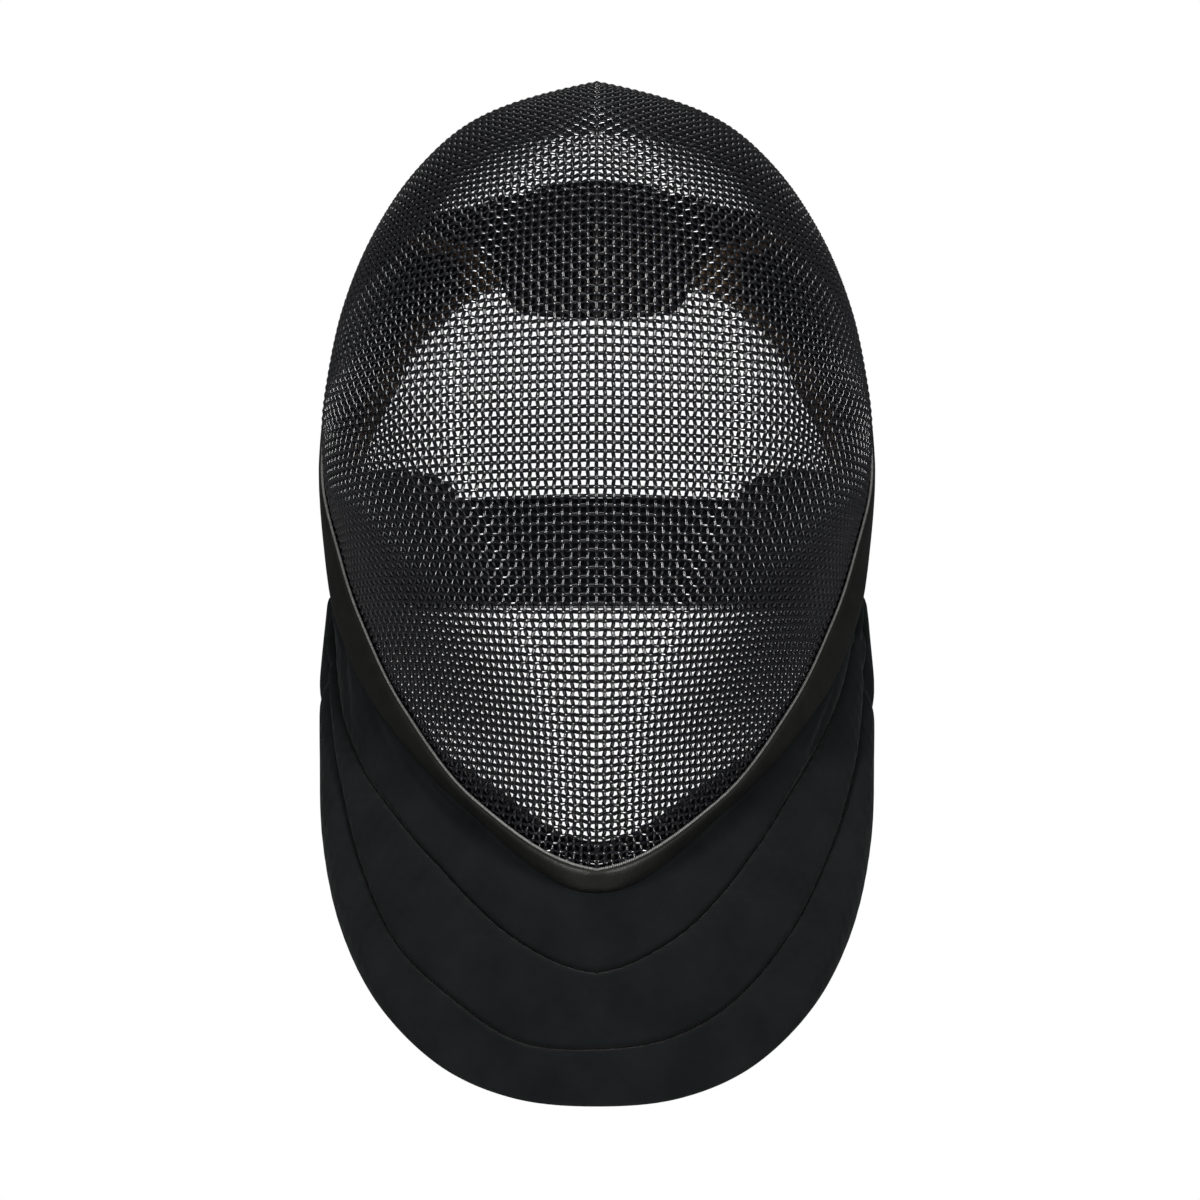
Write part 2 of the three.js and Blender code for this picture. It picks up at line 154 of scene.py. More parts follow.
# %% [markdown]
# ## Finishes
# Every finish is a shader with some noise behind it: paint on wire is glossy but not perfect, vinyl has a fine
# grain, the bib is a close knit, and elastic has ribs. Patterns read the object's own coordinates, or a UV map
# in metres where the pattern has to follow the cloth.

# %% Helpers for finishes


def add_node(tree, kind, **values):
    node = tree.nodes.new(kind)
    for name, value in values.items():
        if name in node.inputs:
            node.inputs[name].default_value = value
        else:
            setattr(node, name, value)
    return node


def tint_between(tree, shader, source, dark, light, low=0.35, high=0.65):
    ramp = add_node(tree, "ShaderNodeValToRGB")
    ramp.color_ramp.elements[0].position = low
    ramp.color_ramp.elements[0].color = (*dark, 1)
    ramp.color_ramp.elements[1].position = high
    ramp.color_ramp.elements[1].color = (*light, 1)
    tree.links.new(source, ramp.inputs["Fac"])
    tree.links.new(ramp.outputs["Color"], shader.inputs["Base Color"])


def vary_roughness(tree, shader, source, low, high):
    scale = add_node(tree, "ShaderNodeMapRange")
    scale.inputs["To Min"].default_value = low
    scale.inputs["To Max"].default_value = high
    tree.links.new(source, scale.inputs["Value"])
    tree.links.new(scale.outputs["Result"], shader.inputs["Roughness"])


def raise_bump(tree, shader, source, depth, strength=1.0):
    bump = add_node(tree, "ShaderNodeBump", Strength=strength, Distance=depth)
    tree.links.new(source, bump.inputs["Height"])
    tree.links.new(bump.outputs["Normal"], shader.inputs["Normal"])
    return bump


def noise(tree, scale, detail=3.0, roughness=0.55, coordinate="Object"):
    place = add_node(tree, "ShaderNodeTexCoord")
    texture = add_node(tree, "ShaderNodeTexNoise", Scale=scale, Detail=detail, Roughness=roughness)
    tree.links.new(place.outputs[coordinate], texture.inputs["Vector"])
    return texture.outputs["Fac"]


# %% Wire paint, vinyl, pad cover and thread


def wire_paint():
    material, tree, shader = plain_material("wire_paint", (0.005, 0.0055, 0.0075), 0.15, 1.0)
    shader.inputs["Coat Weight"].default_value = 0.4
    shader.inputs["Coat Roughness"].default_value = 0.12
    mottled = noise(tree, 260.0)
    tint_between(tree, shader, mottled, (0.003, 0.0035, 0.006), (0.006, 0.0063, 0.0085))
    vary_roughness(tree, shader, noise(tree, 700.0), 0.1, 0.2)
    return material


def grained_cover(name, dark, light, grain, rough_low, rough_high):
    material, tree, shader = plain_material(name, dark, rough_low, 0.4)
    tint_between(tree, shader, noise(tree, 90.0), dark, light)
    vary_roughness(tree, shader, noise(tree, 240.0), rough_low, rough_high)
    place = add_node(tree, "ShaderNodeTexCoord")
    cells = add_node(tree, "ShaderNodeTexVoronoi", Scale=grain)
    tree.links.new(place.outputs["Object"], cells.inputs["Vector"])
    raise_bump(tree, shader, cells.outputs["Distance"], 0.12 * MM, 0.6)
    return material


def tint_front_edge(material, brown, dark, width):
    """Brown along the cloth's front edge; the UV map's second value is the distance from it in metres."""
    tree = material.node_tree
    shader = tree.nodes["Principled BSDF"]
    place = add_node(tree, "ShaderNodeTexCoord")
    split = add_node(tree, "ShaderNodeSeparateXYZ")
    wander = noise(tree, 120.0)
    reach = add_node(tree, "ShaderNodeMath", operation="MULTIPLY_ADD")
    reach.inputs[1].default_value = 0.5 / width
    tree.links.new(place.outputs["UV"], split.inputs["Vector"])
    tree.links.new(split.outputs["Y"], reach.inputs[0])
    tree.links.new(wander, reach.inputs[2])
    tint_between(tree, shader, reach.outputs["Value"], brown, dark, 0.85, 1.0)


def thread_finish(name, dark, light, specular=0.3):
    material, tree, shader = plain_material(name, light, 0.75, specular)
    tint_between(tree, shader, noise(tree, 1500.0), dark, light)
    return material


WIRE = wire_paint()
VINYL = grained_cover("binding_vinyl", (0.0055, 0.0055, 0.005), (0.009, 0.0088, 0.0078), 1500.0, 0.36, 0.5)
PAD_COVER = grained_cover("pad_cover", (0.012, 0.010, 0.009), (0.030, 0.021, 0.015), 1100.0, 0.5, 0.7)
TEMPLE_COVER = grained_cover("temple_cover", (0.012, 0.010, 0.009), (0.030, 0.021, 0.015), 1100.0, 0.5, 0.7)
tint_front_edge(TEMPLE_COVER, (0.34, 0.21, 0.12), (0.014, 0.012, 0.011), 15 * MM)
EDGE_THREAD = thread_finish("edge_thread", (0.16, 0.16, 0.155), (0.36, 0.355, 0.34))
BLACK_THREAD = thread_finish("black_thread", (0.001, 0.001, 0.001), (0.003, 0.003, 0.003), 0.02)
GREY_THREAD = thread_finish("grey_thread", (0.34, 0.34, 0.34), (0.55, 0.55, 0.55))

# %% Knit and elastic
WALES_PER_METRE = 900.0
COURSES_PER_METRE = 1250.0
RIBS_PER_METRE = 620.0


def ribbed_cloth(name, dark, light, along, across, depth):
    material, tree, shader = plain_material(name, light, 0.95, 0.06)
    shader.inputs["Sheen Weight"].default_value = 0.08
    shader.inputs["Sheen Roughness"].default_value = 0.5
    place = add_node(tree, "ShaderNodeTexCoord")
    bands = []
    for direction, count in (("X", along), ("Y", across)):
        wave = add_node(tree, "ShaderNodeTexWave", Scale=count / 20, Distortion=0.6, Detail=1.0)
        wave.bands_direction = direction
        tree.links.new(place.outputs["UV"], wave.inputs["Vector"])
        bands.append(wave.outputs["Fac"])
    both = add_node(tree, "ShaderNodeMath", operation="MULTIPLY")
    tree.links.new(bands[0], both.inputs[0])
    tree.links.new(bands[1], both.inputs[1])
    fuzz = noise(tree, 1800.0)
    sum_up = add_node(tree, "ShaderNodeMath", operation="ADD")
    tree.links.new(both.outputs["Value"], sum_up.inputs[0])
    tree.links.new(fuzz, sum_up.inputs[1])
    raise_bump(tree, shader, sum_up.outputs["Value"], depth, 0.8)
    cloudy = noise(tree, 45.0, 4.0)
    tint_between(tree, shader, cloudy, dark, light)
    return material


KNIT = ribbed_cloth("bib_knit", (0.0060, 0.0075, 0.0080), (0.0092, 0.0110, 0.0117),
                    WALES_PER_METRE, COURSES_PER_METRE, 0.25 * MM)
ELASTIC = ribbed_cloth("strap_elastic", (0.0085, 0.009, 0.0095), (0.015, 0.0155, 0.0165),
                       RIBS_PER_METRE, 300.0, 0.3 * MM)


def darken_grooves(material):
    """Cloth deep in a seam sees little light, so the stored groove value takes its colour down."""
    tree = material.node_tree
    shader = tree.nodes["Principled BSDF"]
    colour = shader.inputs["Base Color"].links[0].from_socket
    depth = add_node(tree, "ShaderNodeAttribute", attribute_name="groove")
    shade = add_node(tree, "ShaderNodeMix", data_type="RGBA")
    tree.links.new(depth.outputs["Fac"], shade.inputs["Factor"])
    shade_sockets = [s for s in shade.inputs if s.type == "RGBA"]
    tree.links.new(colour, shade_sockets[0])
    shade_sockets[1].default_value = (0.0006, 0.0006, 0.0006, 1)
    out = [s for s in shade.outputs if s.type == "RGBA"][0]
    tree.links.new(out, shader.inputs["Base Color"])


darken_grooves(KNIT)
print("finishes:", len(bpy.data.materials))

# %% [markdown]
# ## The dome as a surface
# The wire sheet follows a short table of sections, from the rear top down to the chin. Each row gives a point on
# the keel, a point on the rim, and two handles for the curve between them. A smooth curve through the rows gives
# the whole surface, so the wires, the binding, the bib and the pads can all be laid on it without measuring.

# %% Section tables
DOME_COLUMNS = ["keel_y", "keel_z", "rim_x", "rim_y", "rim_z", "brow_x", "crease", "flank_x", "flank_share"]
DOME = np.array([
    [130, 61.5, 0, 130, 61.5, 0, 0.62, 0, 0.45],
    [104, 68.5, 31, 132, 57.5, 19, 0.4, 33, 0.45],
    [80, 71, 53.5, 134, 46.5, 34, 0.36, 61, 0.5],
    [50, 65, 73.5, 135, 20, 43, 0.41, 85, 0.5],
    [20, 48, 88.5, 136, -5, 49, 0.44, 100, 0.52],
    [-4, 19, 98, 136.5, -27, 54, 0.38, 109, 0.56],
    [-20, -14, 103.5, 136, -47, 57, 0.33, 112.5, 0.6],
    [-28, -47, 106, 135, -65, 59, 0.3, 114, 0.62],
    [-30, -77, 106.5, 133, -83, 59, 0.29, 105, 0.62],
    [-29, -109, 102, 127, -106, 56, 0.3, 89.5, 0.58],
    [-24, -142, 95, 112, -134, 48, 0.36, 74, 0.5],
    [-16, -174, 80.5, 83, -166, 34, 0.45, 60, 0.4],
    [-6, -202.5, 49, 46, -201, 19, 0.58, 43, 0.36],
    [8, -231.5, 0, 8, -231.5, 0, 0.58, 0, 0.36],
], float)
LAST = len(DOME) - 1

# %% Curves through a table


def spline(values, t, rule="open"):
    """Smooth curve through the values; the rule says how it goes on past both ends."""
    v = np.asarray(values, float)
    t = np.asarray(t, float)
    first, last = {
        "open": (2 * v[0] - v[1], 2 * v[-1] - v[-2]),
        "odd": (-v[1], -v[-2]),
        "even": (v[1], v[-2]),
    }[rule]
    padded = np.concatenate([[first], v, [last]])
    i = np.clip(np.floor(t).astype(int), 0, len(v) - 2)
    f = t - i
    a, b, c, d = padded[i], padded[i + 1], padded[i + 2], padded[i + 3]
    return 0.5 * (2 * b + (c - a) * f + (2 * a - 5 * b + 4 * c - d) * f**2 + (3 * b - a - 3 * c + d) * f**3)


def column(table, names, name, t, rule="open"):
    return spline(table[:, names.index(name)], t, rule)


def dome_point(t, s):
    """Middle surface in millimetres: t runs down the keel, s from the keel (0) to the rim (1, left -1)."""
    t, s = np.broadcast_arrays(np.asarray(t, float), np.asarray(s, float))
    side = np.where(s < 0, -1.0, 1.0)
    u = np.abs(s)

    def value(name, rule="open"):
        return column(DOME, DOME_COLUMNS, name, t, rule)

    keel_y, keel_z = value("keel_y"), value("keel_z")
    rise_y, rise_z = value("rim_y", "even") - keel_y, value("rim_z", "even") - keel_z
    span = np.hypot(rise_y, rise_z)
    unit = np.where(span > 1e-9, 1 / np.maximum(span, 1e-9), 0)
    brow_x = np.maximum(value("brow_x"), 0)
    brow_w = np.minimum(brow_x * value("crease"), 0.6 * span)
    flank_w = span * (1 - value("flank_share"))
    b1, b2, b3 = 3 * (1 - u) ** 2 * u, 3 * (1 - u) * u**2, u**3
    x = b1 * brow_x + b2 * np.maximum(value("flank_x"), 0) + b3 * value("rim_x", "odd")
    w = b1 * brow_w + b2 * flank_w + b3 * span
    return np.stack([side * x, keel_y + rise_y * unit * w, keel_z + rise_z * unit * w], -1)


def unit_rows(v):
    return v / np.maximum(np.linalg.norm(v, axis=-1, keepdims=True), 1e-12)


def dome_normal(t, s, step=0.02):
    """Outward unit normal, averaged across the crease and single at the two tips."""
    t, s = np.broadcast_arrays(np.asarray(t, float), np.asarray(s, float))
    tip = (t <= 0) | (t >= LAST)
    inner_t = np.clip(t, 2 * step, LAST - 2 * step)
    u = np.where(tip, 0.5, np.clip(np.abs(s), step, 1 - step))
    along = dome_point(inner_t + step, u) - dome_point(inner_t - step, u)
    across = dome_point(inner_t, u + step) - dome_point(inner_t, u - step)
    normal = unit_rows(np.cross(along, across))
    normal[..., 0] = np.where(tip | (s == 0), 0, normal[..., 0] * np.where(s < 0, -1.0, 1.0))
    return unit_rows(normal)


def on_dome(t, s, offset):
    return dome_point(t, s) + dome_normal(t, s) * np.asarray(offset)[..., None]


print("brow point", dome_point(5.6, 0.0).round(1), "normal", dome_normal(5.6, 0.0).round(2))

# %% [markdown]
# ## The weave
# The real sheet is a plain weave: every wire goes over one crossing wire and under the next. Drawing that as a
# picture would look flat from the side, so each wire is real. The paths are laid out first: one family runs down
# the dome at equal distances from the keel, and the other crosses it at equal steps along those wires, as the
# wires of a pressed sheet do. A node tree then waves each path up and down and sweeps a round wire along it.

# %% Where the wires run
PITCH = 3.2
WIRE_DIAMETER = 1.56
BEND_HEIGHT = 0.55
SAMPLES = 3
BASE_T = 8.0
TUCK = 2.5
ROOF_SWEEP = 0.35
SWEEP_START = 70.0
SWEEP_LENGTH = 190.0

fine_t = np.linspace(0.02, LAST - 0.02, 1297)
fine_s = np.linspace(0, 1, 181)
sheet = dome_point(fine_t[:, None], fine_s[None, :])
section_end = unit_rows(sheet[:, -1] - sheet[:, -4])
beyond = sheet[:, -1:, :] + section_end[:, None, :] * np.arange(3, 40, 3.0)[None, :, None]
sheet = np.concatenate([sheet, beyond], axis=1)
steps = np.linalg.norm(np.diff(sheet, axis=1), axis=2)
arc = np.concatenate([np.zeros((len(fine_t), 1)), np.cumsum(steps, axis=1)], axis=1)
rim_arc = arc[:, len(fine_s) - 1]
spread = np.arange(0, rim_arc.max() + PITCH, PITCH / SAMPLES)
net = np.full((len(fine_t), len(spread), 3), np.nan)
for k in range(len(fine_t)):
    reach = spread <= arc[k, -1]
    for axis in range(3):
        net[k, reach, axis] = np.interp(spread[reach], arc[k], sheet[k, :, axis])
print("widest section", round(2 * rim_arc.max()), "mm, net", net.shape)

# %% Normals of the net and distance down each wire
net_lift = unit_rows(np.cross(np.gradient(net, axis=0), np.gradient(net, axis=1)))
net_lift[:, 0, 0] = 0
net_lift = unit_rows(net_lift)
base_row = int(np.argmin(np.abs(fine_t - BASE_T)))
hop = np.linalg.norm(np.diff(net, axis=0), axis=2)
down = np.concatenate([np.zeros((1, len(spread))), np.nancumsum(hop, axis=0)], axis=0)
down = down - down[base_row]
down[np.isnan(net[:, :, 0])] = np.nan
ROWS = np.arange(-110, 110)


def smooth_step(x):
    x = np.clip(x, 0, 1)
    return x * x * (3 - 2 * x)


def row_place(row, distance):
    """Distance down a wire where a cross wire meets it; on the roof the cross wires sweep back from the keel."""
    plain = row * PITCH
    sweep = ROOF_SWEEP * smooth_step((-plain - SWEEP_START) / SWEEP_LENGTH)
    return plain - sweep * distance


def runs_inside(mask, least=6):
    """First and last index of each unbroken run of true values."""
    edges = np.flatnonzero(np.diff(np.concatenate([[0], mask.astype(int), [0]])))
    return [(a, b) for a, b in zip(edges[::2], edges[1::2]) if b - a >= least]


def read_net(k, places):
    """Points, lifts and rim clearance of the wire at net column k, at distances down it."""
    good = ~np.isnan(down[:, k])
    if good.sum() < 4:
        return None
    table = np.column_stack([net[good, k], net_lift[good, k], rim_arc[good] - spread[k]])
    line = down[good, k]
    inside = (places >= line[0]) & (places <= line[-1])
    values = np.column_stack([np.interp(places, line, table[:, c]) for c in range(7)])
    return values[:, :3], unit_rows(values[:, 3:6]), inside & (values[:, 6] > TUCK)


# %% Collect the paths
warp_paths = {"left": [], "right": []}
for i in range(0, len(spread) // SAMPLES):
    k = i * SAMPLES
    phase = np.arange(ROWS[0], ROWS[-1], 1 / SAMPLES)
    found = read_net(k, row_place(phase, spread[k]))
    if found is None:
        continue
    points, lifts, keep = found
    for a, b in runs_inside(keep):
        warp_paths["right"].append((points[a:b], lifts[a:b], phase[a:b] + i))
        if i > 0:
            flip = np.array([-1.0, 1.0, 1.0])
            warp_paths["left"].append((points[a:b] * flip, lifts[a:b] * flip, phase[a:b] + i))

weft_paths = {"upper": [], "lower": []}
reads = [read_net(k, row_place(ROWS.astype(float), spread[k])) for k in range(len(spread))]
for r, row in enumerate(ROWS):
    half = [(v[0][r], v[1][r], v[2][r]) if v else (np.zeros(3), np.zeros(3), False) for v in reads]
    points = np.array([h[0] for h in half])
    lifts = np.array([h[1] for h in half])
    keep = np.array([h[2] for h in half])
    flip = np.array([-1.0, 1.0, 1.0])
    points = np.concatenate([points[:0:-1] * flip, points])
    lifts = np.concatenate([lifts[:0:-1] * flip, lifts])
    keep = np.concatenate([keep[:0:-1], keep])
    number = np.arange(-len(spread) + 1, len(spread)) / SAMPLES
    for a, b in runs_inside(keep):
        half_name = "upper" if row < -18 else "lower"
        weft_paths[half_name].append((points[a:b], lifts[a:b], number[a:b] + row + 1))
print("down wires", {n: len(p) for n, p in warp_paths.items()})
print("cross wires", {n: len(p) for n, p in weft_paths.items()})

# %% [markdown]
# ## A node tree that weaves
# The tree takes a mesh of bare paths. It lifts every point by a cosine of its place among the crossings, turns
# the paths into curves and sweeps a small circle along them. Its inputs are the two numbers a wire weaver would
# name: how thick the wire is, and how far it bends to pass its neighbour.

# %% Small tools for node trees


def new_tree(name, inputs):
    group = bpy.data.node_groups.new(name, "GeometryNodeTree")
    group.interface.new_socket(name="Geometry", in_out="INPUT", socket_type="NodeSocketGeometry")
    for label, kind, value in inputs:
        socket = group.interface.new_socket(name=label, in_out="INPUT", socket_type=kind)
        if value is not None:
            socket.default_value = value
    group.interface.new_socket(name="Geometry", in_out="OUTPUT", socket_type="NodeSocketGeometry")
    start = group.nodes.new("NodeGroupInput")
    end = group.nodes.new("NodeGroupOutput")
    return group, start, end


def join(group, source, target):
    group.links.new(source, target)


def end_tree(group, start, end, geometry):
    """Real geometry, then the finish."""
    realize = add_node(group, "GeometryNodeRealizeInstances")
    smooth = add_node(group, "GeometryNodeSetShadeSmooth")
    paint = add_node(group, "GeometryNodeSetMaterial")
    join(group, geometry, realize.inputs["Geometry"])
    join(group, realize.outputs["Geometry"], smooth.inputs["Geometry"])
    join(group, smooth.outputs["Geometry"], paint.inputs["Geometry"])
    join(group, start.outputs["Material"], paint.inputs["Material"])
    join(group, paint.outputs["Geometry"], end.inputs["Geometry"])


def run_tree(name, path_mesh, group, settings):
    """Evaluates the tree on a path mesh and returns a plain mesh object."""
    carrier = new_object(name + "_path", path_mesh)
    modifier = carrier.modifiers.new("tree", "NODES")
    modifier.node_group = group
    for item in group.interface.items_tree:
        if item.item_type == "SOCKET" and item.in_out == "INPUT" and item.name in settings:
            modifier[item.identifier] = settings[item.name]
    depsgraph = bpy.context.evaluated_depsgraph_get()
    made = bpy.data.meshes.new_from_object(carrier.evaluated_get(depsgraph))
    made.name = name
    bpy.data.objects.remove(carrier)
    turn_outward(made)
    return new_object(name, made)


def mesh_volume(mesh):
    mesh.calc_loop_triangles()
    corners = np.zeros(len(mesh.loop_triangles) * 3, np.int32)
    mesh.loop_triangles.foreach_get("vertices", corners)
    places = np.zeros(len(mesh.vertices) * 3)
    mesh.vertices.foreach_get("co", places)
    p = places.reshape(-1, 3)[corners.reshape(-1, 3)]
    return float(np.einsum("ij,ij->i", p[:, 0], np.cross(p[:, 1], p[:, 2])).sum() / 6)


def turn_outward(mesh):
    if mesh_volume(mesh) < 0:
        mesh.flip_normals()


def path_mesh(name, paths):
    """Loose edges along each path, with the lift direction and the phase stored on the points."""
    points = np.concatenate([p[0] for p in paths]) * MM
    counts = [len(p[0]) for p in paths]
    starts = np.cumsum([0] + counts[:-1])
    edges = np.concatenate([np.column_stack([np.arange(a, a + n - 1), np.arange(a + 1, a + n)])
                            for a, n in zip(starts, counts)])
    mesh = bpy.data.meshes.new(name)
    mesh.from_pydata(points.tolist(), edges.tolist(), [])
    lift = mesh.attributes.new("lift", "FLOAT_VECTOR", "POINT")
    lift.data.foreach_set("vector", np.concatenate([p[1] for p in paths]).astype(np.float32).ravel())
    phase = mesh.attributes.new("phase", "FLOAT", "POINT")
    phase.data.foreach_set("value", np.concatenate([p[2] for p in paths]).astype(np.float32))
    return mesh


# %% The weaving tree


def weaving_tree():
    group, start, end = new_tree("weave_wire", [
        ("Wire Diameter", "NodeSocketFloat", WIRE_DIAMETER * MM),
        ("Bend Height", "NodeSocketFloat", BEND_HEIGHT * MM),
        ("Sides", "NodeSocketInt", 5),
        ("Material", "NodeSocketMaterial", None),
    ])
    phase = add_node(group, "GeometryNodeInputNamedAttribute", data_type="FLOAT")
    phase.inputs["Name"].default_value = "phase"
    lift = add_node(group, "GeometryNodeInputNamedAttribute", data_type="FLOAT_VECTOR")
    lift.inputs["Name"].default_value = "lift"
    turn = add_node(group, "ShaderNodeMath", operation="MULTIPLY")
    turn.inputs[1].default_value = math.pi
    wave = add_node(group, "ShaderNodeMath", operation="COSINE")
    height = add_node(group, "ShaderNodeMath", operation="MULTIPLY")
    offset = add_node(group, "ShaderNodeVectorMath", operation="SCALE")
    join(group, phase.outputs["Attribute"], turn.inputs[0])
    join(group, turn.outputs["Value"], wave.inputs[0])
    join(group, wave.outputs["Value"], height.inputs[0])
    join(group, start.outputs["Bend Height"], height.inputs[1])
    join(group, lift.outputs["Attribute"], offset.inputs[0])
    join(group, height.outputs["Value"], offset.inputs["Scale"])
    place = add_node(group, "GeometryNodeSetPosition")
    join(group, start.outputs["Geometry"], place.inputs["Geometry"])
    join(group, offset.outputs["Vector"], place.inputs["Offset"])
    curve = add_node(group, "GeometryNodeMeshToCurve")
    join(group, place.outputs["Geometry"], curve.inputs["Mesh"])
    half = add_node(group, "ShaderNodeMath", operation="MULTIPLY")
    half.inputs[1].default_value = 0.5
    join(group, start.outputs["Wire Diameter"], half.inputs[0])
    circle = add_node(group, "GeometryNodeCurvePrimitiveCircle")
    join(group, start.outputs["Sides"], circle.inputs["Resolution"])
    join(group, half.outputs["Value"], circle.inputs["Radius"])
    sweep = add_node(group, "GeometryNodeCurveToMesh")
    sweep.inputs["Fill Caps"].default_value = True
    join(group, curve.outputs["Curve"], sweep.inputs["Curve"])
    join(group, circle.outputs["Curve"], sweep.inputs["Profile Curve"])
    end_tree(group, start, end, sweep.outputs["Mesh"])
    return group


WEAVE = weaving_tree()
wires = {}
for name, paths in (("wires_down_left", warp_paths["left"]), ("wires_down_right", warp_paths["right"]),
                    ("wires_cross_upper", weft_paths["upper"]), ("wires_cross_lower", weft_paths["lower"])):
    wires[name] = run_tree(name, path_mesh(name + "_path", paths), WEAVE, {
        "Wire Diameter": WIRE_DIAMETER * MM, "Bend Height": BEND_HEIGHT * MM, "Sides": 5, "Material": WIRE})
    print(name, "triangles", 2 * len(wires[name].data.polygons))

# %% [markdown]
# ## The edge binding
# A strip of soft vinyl is folded over the cut wires all round the rim and sewn through. Its fold is a rounded
# outline carried round the rim; where it lies on the mesh it follows the dome, so it never floats or cuts in.

# %% Rim frames
LIP = 7.5
NOSE = 3.0
BINDING_HALF = 3.6
SLOT = 1.3
JAW = {"middle": 10.0, "span": 2.3, "reach": 5.0, "rise": 4.6}
TIP_CROWDING = 0.28


def rim_frame(t):
    """Points of the right rim, the direction away from the mesh and the outward normal."""
    t = np.asarray(t, float)
    step = 0.02
    at = np.clip(t, step, LAST - step)
    tangent = dome_point(at + step, 1.0) - dome_point(at - step, 1.0)
    tangent[t <= 0] = (1, 0, 0)
    tangent[t >= LAST] = (-1, 0, 0)
    normal = dome_normal(t, 1.0)
    return dome_point(t, 1.0), unit_rows(np.cross(normal, tangent)), normal


def rim_inset(t, distance):
    """Places on the dome nearest to points a distance inside the rim, found by a shrinking search."""
    point, away, _ = rim_frame(t)
    target = point - away * np.asarray(distance, float)[..., None]
    tip = (t <= 0) | (t >= LAST)
    best_t = np.array(t, float)
    best_s = np.where(tip, 0.0, 1.0)
    miss = np.linalg.norm(dome_point(best_t, best_s) - target, axis=-1)
    step = 0.6
    while step > 2e-5:
        for turn_t, turn_s in ((step, 0), (-step, 0), (0, step), (0, -step)):
            try_t = np.clip(best_t + turn_t, 0, LAST)
            try_s = np.where(tip, 0.0, np.clip(best_s + turn_s, 0, 1))
            now = np.linalg.norm(dome_point(try_t, try_s) - target, axis=-1)
            better = now < miss
            miss = np.where(better, now, miss)
            best_t = np.where(better, try_t, best_t)
            best_s = np.where(better, try_s, best_s)
        step *= 0.8
    return best_t, best_s


def rim_steps(count):
    u = np.linspace(0, 1, count + 1)
    eased = 0.5 * (1 - np.cos(np.pi * u))
    return np.minimum(LAST, LAST * ((1 - TIP_CROWDING) * u + TIP_CROWDING * eased))


def rim_point(t, d, n):
    """Point a height off the dome, at a distance inside the rim (d below zero)."""
    inset_t, inset_s = rim_inset(t, np.broadcast_to(-d, t.shape))
    inset_s = np.where((t <= 0) | (t >= LAST), 0.0, np.maximum(inset_s, 1e-6))
    return on_dome(inset_t, inset_s, np.broadcast_to(n, t.shape))


def jaw_share(t):
    """One at the middle of the jaw, falling smoothly to nothing above the ear and beside the chin."""
    x = np.minimum(np.abs(t - JAW["middle"]) / JAW["span"], 1)
    return (1 - x * x) ** 2


def fold_point(t, d, n):
    """Outline row of the fold; along the jaw the outer leg reaches further and its roll stands higher."""
    share = jaw_share(t) if n > 0 else np.zeros(len(t))
    over = min(max(-d / LIP, 0), 1)
    lift = 1 - over if d < 0 else n / BINDING_HALF
    height = n + JAW["rise"] * share * lift if n > SLOT else np.full(len(t), n)
    reach = d - JAW["reach"] * share * over
    if d >= -1:
        point, away, normal = rim_frame(t)
        return point + away * reach[:, None] + normal * height[:, None]
    return rim_point(t, reach, height)


def closed_ring(name, sections):
    """Mesh of a loop of equal sections, first axis round the loop."""
    rings, count, _ = sections.shape
    faces = []
    for i in range(rings):
        after = (i + 1) % rings
        for j in range(count):
            k = (j + 1) % count
            faces.append((i * count + j, after * count + j, after * count + k, i * count + k))
    mesh = bpy.data.meshes.new(name)
    mesh.from_pydata((sections.reshape(-1, 3) * MM).tolist(), [], faces)
    mesh.shade_smooth()
    turn_outward(mesh)
    return mesh


def both_sides(right):
    """Right half of a loop and its mirror, tips shared; first axis runs along the rim."""
    left = right[-2:0:-1] * np.array([-1.0, 1.0, 1.0])
    return np.concatenate([right, left])


# %% Sweep the binding
RIM_STEPS = rim_steps(110)
FOLD = [(-LIP, SLOT), (-LIP, 2.3), (-LIP + 0.35, 3.0), (-LIP + 1.2, 3.45), (-5.0, BINDING_HALF), (-2.6, 3.75),
        (-0.9, 3.7), (0.7, 3.3), (1.9, 2.6), (2.7, 1.5), (NOSE, 0.0)]
fold_back = [(d, -n) for d, n in FOLD[-2::-1]]
inner_wall = [(-4.0, -SLOT), (-0.5, -SLOT), (-0.5, SLOT), (-4.0, SLOT)]
outline = FOLD + fold_back + inner_wall
right_half = np.stack([fold_point(RIM_STEPS, d, n) for d, n in outline], axis=1)
binding = new_object("rim_binding", closed_ring("rim_binding", both_sides(right_half)))
binding.data.materials.append(VINYL)
print("binding faces", len(binding.data.polygons))

# %% [markdown]
# ## Thread along the mesh edge
# A pale thread shows where the strip is sewn to the mesh. It is many small slanted stitches in a row, so a node
# tree lays one short capsule at each step along the seam path.

# %% The stitching tree


